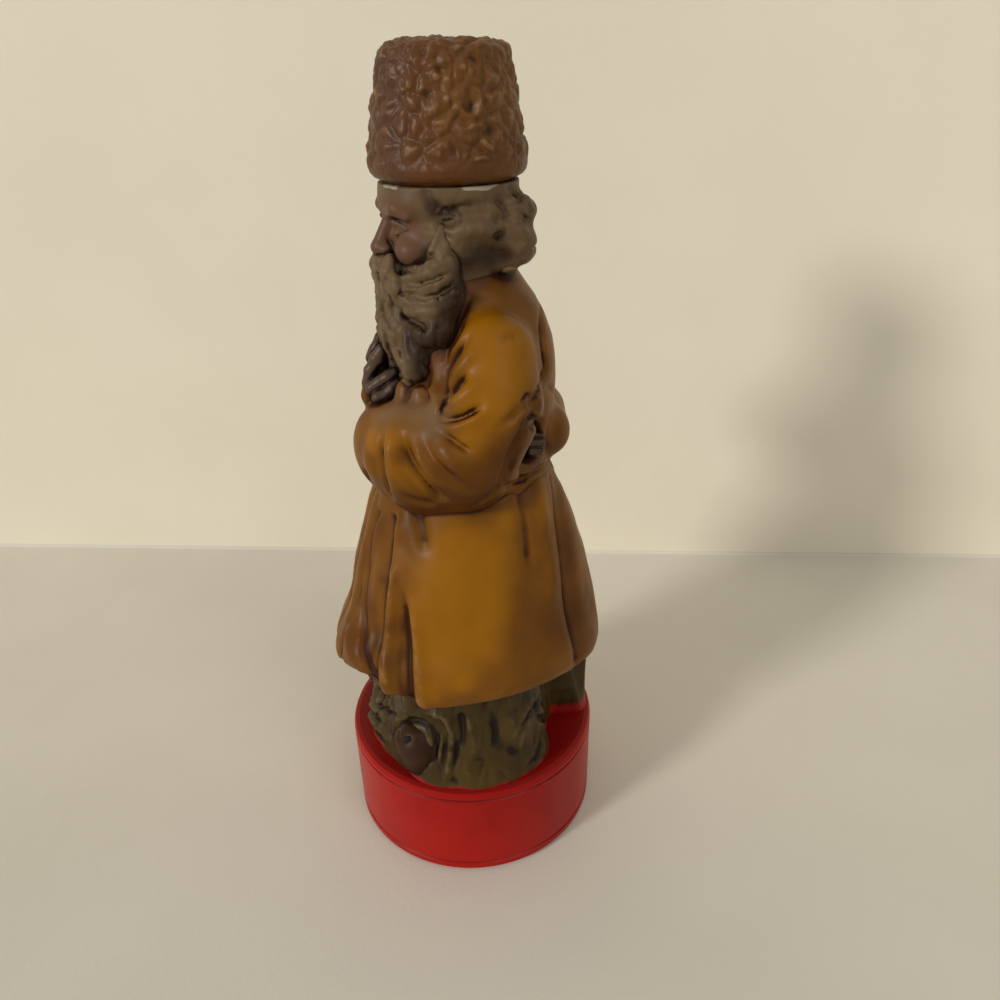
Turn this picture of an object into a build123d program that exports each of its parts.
from build123d import *
import math
import os

# A hollow ceramic decanter: a bearded figure in a long coat on a drum plinth.
# The tall fur hat is the stopper. Millimetres, +Z up, the figure faces -Y and its left side is +X.
# Directions are in degrees from the front (-Y), turning towards the left side (+X).

# Driving sizes of the whole
plinth_radius = 52.0
plinth_height = 45.0
hem_height = 81.0
waist_height = 162.0
shoulder_height = 236.0
rim_height = 262.0

# Ceramic walls
wall = 4.0
foot_recess = 1.5
foot_ring_width = 9.0

# Plinth mouldings
foot_bevel = 2.0
foot_groove_height = 5.0
bead_groove_height = 40.6
groove_width = 1.6
groove_depth = 0.9
deck_round = 2.4
deck_round_middle_share = 0.29

# The hollow passes from the plinth up into the skirt behind the boots
throat_side_margin = 23.0
throat_end_margin = 30.0
throat_back_shift = 9.0

# Rockwork
rock_lean_share = 0.86
ground_shares = (
    0.82, 0.77, 0.73, 0.725, 0.76, 0.87, 0.92, 0.945, 0.90, 0.895, 0.86, 0.81,
    0.73, 0.67, 0.67, 0.91, 0.955, 0.955, 0.955, 0.955, 0.955, 0.91, 0.66, 0.65,
    0.73, 0.80, 0.86, 0.89, 0.91, 0.91, 0.87, 0.83, 0.76, 0.715, 0.70, 0.76,
)
support_from_degrees = 148.0
support_to_degrees = 212.0

# Boots
boot_width = 19.0
boot_side_margin = 30.5
boot_toe_margin = 10.0
boot_length = 27.0
boot_toe_height = 17.5
boot_leg_width = 20.0

# Coat skirt
hem_radius = 55.0
hem_side_share = 0.945
hem_side_lift = 9.0
skirt_waist_radius = 32.6
skirt_back_shift = 2.3
skirt_shift_height_share = 0.4
fold_depth = 3.6
fold_spread_degrees = 4.6
skirt_profile_shares = (
    (0.0, 0.93), (0.06, 0.985), (0.15, 0.90), (0.26, 0.80), (0.39, 0.695), (0.54, 0.57),
    (0.68, 0.43), (0.79, 0.30), (0.88, 0.19), (0.95, 0.09), (1.0, 0.0),
)
skirt_hollow_shares = ((0.0, 0.82), (0.3, 0.64), (0.6, 0.36), (0.85, 0.10), (1.0, -0.06))
# Each fold is its direction at the hem and at the waist, its depth share and its width share
skirt_folds = (
    (4.0, 5.0, 0.35, 0.9), (21.0, 6.0, 0.45, 0.9), (28.0, 26.0, 0.95, 0.9), (47.0, 38.0, 0.75, 0.9),
    (123.0, 134.0, 0.95, 1.2), (170.0, 172.0, 0.5, 1.0), (187.0, 188.0, 0.35, 0.9), (203.0, 205.0, 0.6, 1.0),
    (219.0, 222.0, 0.4, 0.9), (238.0, 241.0, 0.85, 1.1), (256.0, 262.0, 0.5, 1.0), (275.0, 282.0, 0.25, 1.6),
    (296.0, 303.0, 0.4, 0.9), (314.0, 320.0, 0.8, 1.0), (331.0, 338.0, 0.45, 0.9), (347.0, 352.0, 0.65, 1.0),
)
fold_fade_share = 0.45

# Coat body
chest_half_width = 33.5
chest_half_depth = 31.5
chest_back_shift = 4.0
neck_opening_radius = 14.0
body_profile_shares = (
    (0.0, 0.91, 0.95), (0.13, 0.90, 0.95), (0.27, 0.925, 0.95), (0.42, 0.965, 0.965), (0.55, 0.98, 0.96),
    (0.67, 0.965, 0.92), (0.76, 0.91, 0.86), (0.84, 0.81, 0.79), (0.90, 0.72, 0.735), (0.95, 0.64, 0.68),
    (1.0, 0.55, 0.63),
)

# Head and hair
neck_bore_radius = 11.5
rim_radius = 22.4
hair_reach = 27.5
head_turn_degrees = -3.0
head_drop = 5.0
# Each level is its height share, then the reach of the face, the side hair and the back hair
head_profile_shares = (
    (0.0, 0.62, 0.66, 0.70), (0.13, 0.72, 0.76, 0.82), (0.24, 0.80, 0.86, 0.94), (0.355, 0.84, 0.92, 1.0),
    (0.47, 0.85, 0.90, 0.965), (0.56, 0.85, 0.875, 0.92), (0.68, 0.84, 0.91, 0.98), (0.81, 0.82, 0.88, 0.91),
    (0.92, 0.81, 0.83, 0.84),
)
face_reach_share = 0.80
nose_root_drop = 8.0
nose_length = 10.0
nose_forward = 3.1
nose_root_radius = 2.3
nose_tip_radius = 3.5
brow_drop = 6.0
brow_forward = 1.5
brow_radius = 2.25
brow_spread_degrees = 28.0

# Beard
beard_half_width = 18.0
beard_half_depth = 8.0
beard_length = 43.0
beard_top_drop = 21.0
beard_forward = 19.0
# Each level is its height share, then its width, depth and forward shares
beard_profile_shares = (
    (0.0, 0.62, 0.55, 0.98), (0.22, 0.90, 0.83, 1.0), (0.45, 1.0, 0.97, 1.0),
    (0.72, 0.95, 0.86, 0.94), (1.0, 0.74, 0.80, 0.78),
)
# Each joint is its place as shares of the half width, the forward reach and the length, then its radius share
cheek_beard_shares = (
    (1.05, 0.55, 0.95, 0.28), (1.10, 0.57, 0.73, 0.42), (1.09, 0.63, 0.50, 0.42),
    (0.96, 0.86, 0.27, 0.36), (0.80, 1.02, 0.13, 0.27),
)
moustache_shares = (
    (0.0, 1.14, 0.97, 0.15), (0.42, 1.15, 0.91, 0.17), (0.72, 1.03, 0.80, 0.16), (0.92, 0.90, 0.68, 0.13),
)

# Sleeves and hands
# Each joint is its place as shares of the chest's half width, half depth and height, then its radius share
sleeve_radius = 15.5
left_arm_shares = (
    (0.78, 0.12, 0.67, 0.925), (0.90, 0.04, 0.45, 1.0), (0.89, -0.23, 0.26, 1.06),
    (0.54, -0.64, 0.243, 1.04), (0.18, -0.855, 0.243, 1.0),
)
left_droop_shares = ((0.82, -0.27, 0.135, 0.84), (0.52, -0.64, 0.135, 0.86), (0.20, -0.80, 0.15, 0.84))
right_arm_shares = (
    (-0.79, 0.10, 0.676, 0.90), (-0.985, 0.475, 0.220, 0.90), (-0.24, 0.985, 0.180, 0.81),
    (0.36, 0.855, 0.158, 0.71),
)
limb_joint_share = 0.94
left_wrist_shares = (0.12, -0.87, 0.44)
left_knuckle_shares = (0.03, -0.96, 0.56)
fist_shares = (0.67, 0.70, 0.162)
palm_radius = 6.8
wrist_share = 0.8
fist_radius = 6.4
finger_radius = 2.7
finger_root_share = 1.1
finger_tip_share = 0.9
finger_length = 13.0
finger_spread = 4.2
finger_count = 4
thumb_radius = 3.1
thumb_length = 12.0
left_finger_lean = Vector(0.10, 0.55, 0.83).normalized()
left_finger_row = Vector(0.80, 0.10, -0.59).normalized()
fist_finger_row = Vector(0.20, 0.10, 0.97).normalized()
fist_finger_lean = Vector(0.45, -0.89, 0.0).normalized()
fist_finger_length = 6.1

# Hat stopper
hat_height = 39.5
hat_widest_radius = 25.3
hat_foot_radius = 22.6
hat_wall = 4.0
hat_floor = 5.0
hat_profile_shares = (
    (0.05, 0.955), (0.165, 1.0), (0.33, 0.985), (0.55, 0.93), (0.76, 0.865), (0.885, 0.81), (0.955, 0.70),
    (0.985, 0.5),
)
hat_hollow_shoulder_share = 0.72
hat_hollow_top_share = 0.5
cork_length = 24.0
cork_grip = 7.5
cork_clearance = 0.25
cork_taper = 1.2
cork_bevel = 0.8
cement_width = 1.8
cement_bead = 2.2

# Shared running values
overrun = 3.0
skirt_steps = 96
head_steps = 24
full_turn = 360.0


def polar(radius, degrees, height):
    angle = math.radians(degrees)
    return Vector(radius * math.sin(angle), -radius * math.cos(angle), height)


def ring_face(radius_at, height, steps):
    """A closed smooth outline round the axis at one height."""
    turns = [full_turn * step / steps for step in range(steps)]
    return make_face(Spline(*[polar(radius_at(turn), turn, height) for turn in turns], periodic=True))


def ellipse_face(half_width, half_depth, centre_x, centre_y, height):
    return Plane.XY.offset(height) * Pos(centre_x, centre_y) * Ellipse(half_width, half_depth)


def tapered_limb(start, start_radius, end, end_radius):
    """One turned solid with round ends: two balls and the cone that touches both."""
    along = end - start
    slope = (start_radius - end_radius) / along.length
    side = math.sqrt(1.0 - slope * slope)
    lean = math.asin(slope)
    low_turn = (lean - math.pi / 2) / 2
    high_turn = (lean + math.pi / 2) / 2
    bottom = (0.0, 0.0, -start_radius)
    low_middle = (start_radius * math.cos(low_turn), 0.0, start_radius * math.sin(low_turn))
    low = (start_radius * side, 0.0, start_radius * slope)
    high = (end_radius * side, 0.0, along.length + end_radius * slope)
    high_middle = (end_radius * math.cos(high_turn), 0.0, along.length + end_radius * math.sin(high_turn))
    top = (0.0, 0.0, along.length + end_radius)
    outline = [ThreePointArc(bottom, low_middle, low), Line(low, high), ThreePointArc(high, high_middle, top),
               Line(top, bottom)]
    return Plane(origin=start, z_dir=along.normalized()) * revolve(make_face(outline), axis=Axis.Z)


def limb_chain(joints):
    """Tapered limbs through a list of centre and radius pairs."""
    form = None
    for (start, start_radius), (end, end_radius) in zip(joints, joints[1:]):
        if form is None:
            form = tapered_limb(start, start_radius, end, end_radius)
        else:
            form += tapered_limb(start, start_radius * limb_joint_share, end, end_radius)
    return form


def throat(low, high):
    """The hollow's passage behind the boots."""
    opening = ellipse_face(plinth_radius - throat_side_margin, plinth_radius - throat_end_margin, 0.0,
                           throat_back_shift, low)
    return extrude(opening, amount=high - low, dir=(0, 0, 1))


def upright_cylinder(radius, low, high):
    return Pos(0, 0, low) * Cylinder(radius, high - low, align=(Align.CENTER, Align.CENTER, Align.MIN))


def turned(points):
    """A solid of revolution from radius and height pairs."""
    outline = Polyline(*[(radius, 0.0, height) for radius, height in points], close=True)
    return revolve(make_face(outline), axis=Axis.Z)


def make_plinth():
    ring_inner = plinth_radius - foot_ring_width
    round_middle = deck_round * deck_round_middle_share
    body = turned([
        (0.0, foot_recess), (ring_inner, foot_recess), (ring_inner, 0.0),
        (plinth_radius - foot_bevel, 0.0), (plinth_radius, foot_bevel),
        (plinth_radius, plinth_height - deck_round),
        (plinth_radius - round_middle, plinth_height - round_middle),
        (plinth_radius - deck_round, plinth_height),
        (0.0, plinth_height),
    ])
    for height in (foot_groove_height, bead_groove_height):
        body -= turned([
            (plinth_radius + overrun, height - groove_width),
            (plinth_radius, height - groove_width / 2),
            (plinth_radius - groove_depth, height),
            (plinth_radius, height + groove_width / 2),
            (plinth_radius + overrun, height + groove_width),
        ])
    floor_top = foot_recess + wall
    body -= upright_cylinder(plinth_radius - wall, floor_top, plinth_height - wall)
    return body - throat(floor_top + wall, plinth_height + overrun)


def ground_radius(turn, height_share):
    count = len(ground_shares)
    place = (turn % full_turn) / full_turn * count
    share = ground_shares[round(place) % count]
    on_support = support_from_degrees <= turn % full_turn <= support_to_degrees
    lean = 1.0 if on_support else 1.0 - (1.0 - rock_lean_share) * height_share
    return plinth_radius * share * lean


def make_ground_form():
    faces = []
    for height_share in (0.0, 0.5, 1.0):
        height = plinth_height + (hem_height + hem_side_lift - plinth_height) * height_share
        faces.append(ring_face(lambda turn: ground_radius(turn, height_share), height, len(ground_shares)))
    return loft(faces)


def make_boot_form(side):
    """One boot, toe to the front; side is +1 for the left."""
    half = boot_width / 2
    leg = boot_leg_width / 2
    centre_x = side * (plinth_radius - boot_side_margin)
    toe_reach = plinth_radius - boot_toe_margin
    leg_y = boot_length - toe_reach - leg
    toe = Vector(centre_x, half - toe_reach, plinth_height + boot_toe_height - half)
    instep = Vector(centre_x, (toe.Y + leg_y) / 2, plinth_height + boot_toe_height - half)
    heel = Vector(centre_x, leg_y, plinth_height + leg)
    top = Vector(centre_x, leg_y, hem_height + hem_side_lift + leg)
    form = limb_chain([(toe, half), (instep, half), (heel, leg), (top, leg)])
    size = 4.0 * hem_radius
    slab = Box(size, size, hem_height + hem_side_lift - plinth_height,
               align=(Align.CENTER, Align.CENTER, Align.MIN))
    return form & (Pos(0, 0, plinth_height) * slab)


def fold_at(turn, height_share):
    """How deep the skirt's folds are in one direction, as a share of the full depth."""
    depth = 0.0
    for hem_direction, waist_direction, depth_share, width_share in skirt_folds:
        direction = hem_direction + (waist_direction - hem_direction) * height_share
        away = (turn - direction + full_turn / 2) % full_turn - full_turn / 2
        depth += depth_share * math.exp(-(away / (fold_spread_degrees * width_share)) ** 2)
    return depth


def skirt_radius(turn, height_share, radius_share):
    """The skirt is narrower at the figure's sides, most at the hem, and above the hem it leans back a little."""
    angle = math.radians(turn)
    radius = skirt_waist_radius + (hem_radius - skirt_waist_radius) * radius_share
    side_share = 1.0 - (1.0 - hem_side_share) * math.sin(angle) ** 2 * (1.0 - height_share)
    shift = skirt_back_shift * min(1.0, height_share / skirt_shift_height_share) * radius / hem_radius
    fade = fold_depth * (1.0 - fold_fade_share * height_share)
    return radius * side_share - shift * math.cos(angle) - fade * fold_at(turn, height_share)


def make_hem_arch():
    """What the hem leaves open: it is lowest at the front and the back and rises towards the sides."""
    lowest_share = skirt_profile_shares[0][1]
    reach = skirt_waist_radius + (hem_radius - skirt_waist_radius) * lowest_share
    low = hem_height - overrun
    front = (0.0, -reach, hem_height)
    middle = (0.0, 0.0, hem_height + hem_side_lift)
    back = (0.0, reach, hem_height)
    outline = [ThreePointArc(front, middle, back), Line(back, (0.0, reach, low)),
               Line((0.0, reach, low), (0.0, -reach, low)), Line((0.0, -reach, low), front)]
    return extrude(make_face(outline), amount=hem_radius + overrun, dir=(1, 0, 0), both=True)


def make_skirt_form():
    faces = []
    for height_share, radius_share in skirt_profile_shares:
        height = hem_height + (waist_height - hem_height) * height_share
        faces.append(ring_face(lambda turn: skirt_radius(turn, height_share, radius_share), height, skirt_steps))
    return loft(faces) - make_hem_arch()


def make_skirt_hollow():
    """A plain tapering hollow inside the deepest folds, open at the waist and at the throat."""
    low = hem_height + hem_side_lift + wall
    inset = wall + fold_depth
    faces = []
    for height_share, radius_share in skirt_hollow_shares:
        height = low + (waist_height - low) * height_share
        radius = skirt_waist_radius + (hem_radius - skirt_waist_radius) * radius_share - inset
        faces.append(ellipse_face(radius * hem_side_share, radius, 0.0, skirt_back_shift / 2, height))
    return loft(faces) + throat(hem_height - overrun, low + overrun)


def body_level(height_share, width_share, depth_share, inset):
    height = waist_height + (shoulder_height - waist_height) * height_share
    back_shift = chest_back_shift * min(1.0, 2.0 * (1.0 - height_share))
    return ellipse_face(chest_half_width * width_share - inset, chest_half_depth * depth_share - inset, 0.0,
                        back_shift, height)


def make_body_form():
    return loft([body_level(height, width, depth, 0.0) for height, width, depth in body_profile_shares])


def make_body_hollow():
    """The chest's hollow, drawn in to the neck's opening at the top."""
    levels = [body_level(height, width, depth, wall) for height, width, depth in body_profile_shares[:-3]]
    levels.append(ellipse_face(neck_opening_radius, neck_opening_radius, 0.0, 0.0, shoulder_height))
    return loft(levels)


def head_radius(turn, face_share, side_share, back_share):
    angle = math.radians(turn - head_turn_degrees)
    front = max(math.cos(angle), 0.0) ** 2
    back = max(-math.cos(angle), 0.0) ** 2
    side = 1.0 - front - back
    return hair_reach * (front * face_share + side * side_share + back * back_share)


def make_head_form():
    low = shoulder_height - head_drop
    faces = []
    for height_share, face_share, side_share, back_share in head_profile_shares:
        height = low + (rim_height - low) * height_share
        faces.append(ring_face(lambda turn: head_radius(turn, face_share, side_share, back_share), height,
                               head_steps))
    faces.append(ring_face(lambda turn: rim_radius, rim_height, head_steps))
    form = loft(faces)
    face_reach = hair_reach * face_reach_share
    nose_root = polar(face_reach, head_turn_degrees, rim_height - nose_root_drop)
    nose_tip = polar(face_reach + nose_forward, head_turn_degrees, rim_height - nose_root_drop - nose_length)
    form += tapered_limb(nose_root, nose_root_radius, nose_tip, nose_tip_radius)
    brow_height = rim_height - brow_drop
    brow_left = polar(face_reach, head_turn_degrees + brow_spread_degrees, brow_height)
    brow_right = polar(face_reach, head_turn_degrees - brow_spread_degrees, brow_height)
    brow_middle = polar(face_reach + brow_forward, head_turn_degrees, brow_height)
    return form + limb_chain([(brow_left, brow_radius), (brow_middle, brow_radius), (brow_right, brow_radius)])


def make_beard_form():
    """A full beard with a fuller run down each cheek and a moustache over it."""
    low = rim_height - beard_top_drop - beard_length
    faces = []
    for height_share, width_share, depth_share, forward_share in beard_profile_shares:
        faces.append(ellipse_face(beard_half_width * width_share, beard_half_depth * depth_share, 0.0,
                                  -beard_forward * forward_share, low + beard_length * height_share))
    form = loft(faces)
    for side in (-1, 1):
        form += limb_chain([beard_joint(side, low, shares) for shares in cheek_beard_shares])
    right_half = [beard_joint(-1, low, shares) for shares in moustache_shares[:0:-1]]
    left_half = [beard_joint(1, low, shares) for shares in moustache_shares]
    return form + limb_chain(right_half + left_half)


def beard_joint(side, low, shares):
    width, forward, height, radius = shares
    place = Vector(side * beard_half_width * width, -beard_forward * forward, low + beard_length * height)
    return place, beard_half_width * radius


def chest_place(width_share, depth_share, height_share):
    height = waist_height + (shoulder_height - waist_height) * height_share
    return Vector(chest_half_width * width_share, chest_half_depth * depth_share, height)


def make_sleeve_form(arm_shares):
    return limb_chain([(chest_place(width, depth, height), sleeve_radius * radius)
                       for width, depth, height, radius in arm_shares])


def finger_places(middle, row):
    """The roots of the fingers, side by side along a row."""
    return [middle + row * (finger_spread * (number - (finger_count - 1) / 2)) for number in range(finger_count)]


def make_left_hand_form():
    """The palm and the fingers that hold the beard, with the thumb on the near side."""
    wrist = chest_place(*left_wrist_shares)
    knuckles = chest_place(*left_knuckle_shares)
    form = tapered_limb(wrist, palm_radius * wrist_share, knuckles, palm_radius)
    for root in finger_places(knuckles, left_finger_row):
        form += tapered_limb(root, finger_radius * finger_root_share, root + left_finger_lean * finger_length,
                             finger_radius * finger_tip_share)
    thumb_root = wrist + left_finger_row * palm_radius
    return form + tapered_limb(thumb_root, thumb_radius, thumb_root + left_finger_lean * thumb_length,
                               finger_radius)


def make_right_hand_form():
    """The fist that rests on the lower back."""
    fist = chest_place(*fist_shares)
    width, depth, height, radius = right_arm_shares[-1]
    form = tapered_limb(chest_place(width, depth, height), palm_radius, fist, fist_radius)
    for root in finger_places(fist, fist_finger_row):
        form += tapered_limb(root, finger_radius, root + fist_finger_lean * fist_finger_length,
                             finger_radius * finger_tip_share)
    return form


def make_neck_bore():
    return upright_cylinder(neck_bore_radius, shoulder_height - head_drop - overrun, rim_height + overrun)


def make_hat():
    """A tall cap, hollow inside, with a floor that holds the cork."""
    points = [(hat_foot_radius, rim_height)]
    for height_share, radius_share in hat_profile_shares:
        points.append((hat_widest_radius * radius_share, rim_height + hat_height * height_share))
    points.append((0.0, rim_height + hat_height))
    side = Spline(*[(radius, 0.0, height) for radius, height in points])
    foot = Line((0.0, 0.0, rim_height), (hat_foot_radius, 0.0, rim_height))
    axis_line = Line((0.0, 0.0, rim_height + hat_height), (0.0, 0.0, rim_height))
    outer = revolve(make_face([side, foot, axis_line]), axis=Axis.Z)
    low = rim_height + hat_floor
    high = rim_height + hat_height - hat_wall
    hollow = turned([
        (0.0, low), (hat_widest_radius - hat_wall, low),
        (hat_widest_radius * hat_hollow_shoulder_share, high - hat_wall),
        (hat_widest_radius * hat_hollow_top_share, high), (0.0, high),
    ])
    socket = upright_cylinder(cork_radius() + cement_width, rim_height - overrun, low + overrun)
    return outer - hollow - socket


def cork_radius():
    return neck_bore_radius - cork_clearance


def make_cork():
    radius = cork_radius()
    bottom = rim_height - cork_length
    return turned([
        (0.0, bottom), (radius - cork_taper - cork_bevel, bottom), (radius - cork_taper, bottom + cork_bevel),
        (radius, rim_height), (radius, rim_height + cork_grip), (0.0, rim_height + cork_grip),
    ])


def make_cement():
    """The cement that fills the socket round the cork, with a bead inside the hat."""
    radius = cork_radius()
    inside = rim_height + hat_floor
    return turned([
        (radius, rim_height), (radius + cement_width, rim_height), (radius + cement_width, inside),
        (radius + cement_width + cement_bead, inside), (radius, inside + cement_bead),
    ])


def build():
    plinth = make_plinth()
    ground_form = make_ground_form()
    boots = {"left_boot": make_boot_form(1), "right_boot": make_boot_form(-1)}
    skirt_form = make_skirt_form()
    body_form = make_body_form()
    head_form = make_head_form()
    beard_form = make_beard_form()
    left_sleeve_form = make_sleeve_form(left_arm_shares) + make_sleeve_form(left_droop_shares)
    right_sleeve_form = make_sleeve_form(right_arm_shares)

    nodes = {"plinth": plinth}
    passage = throat(plinth_height - overrun, hem_height + hem_side_lift + overrun)
    nodes["ground"] = ground_form - boots["left_boot"] - boots["right_boot"] - passage - skirt_form
    nodes["left_boot"] = boots["left_boot"] - passage - skirt_form
    nodes["right_boot"] = boots["right_boot"] - passage - skirt_form
    nodes["coat_skirt"] = skirt_form - make_skirt_hollow()
    nodes["coat_body"] = body_form - make_body_hollow()
    nodes["head"] = head_form - body_form - make_neck_bore()
    nodes["beard"] = beard_form - body_form - head_form
    nodes["left_sleeve"] = left_sleeve_form - body_form - skirt_form - beard_form
    nodes["right_sleeve"] = right_sleeve_form - body_form - skirt_form
    nodes["left_hand"] = make_left_hand_form() - left_sleeve_form - body_form - beard_form
    nodes["right_hand"] = make_right_hand_form() - right_sleeve_form - body_form - left_sleeve_form
    nodes["hat"] = make_hat()
    nodes["cork"] = make_cork()
    nodes["cork_cement"] = make_cement()
    return nodes


os.makedirs("parts", exist_ok=True)
for name, solid in build().items():
    solid.label = name
    export_step(solid, os.path.join("parts", name + ".step"))
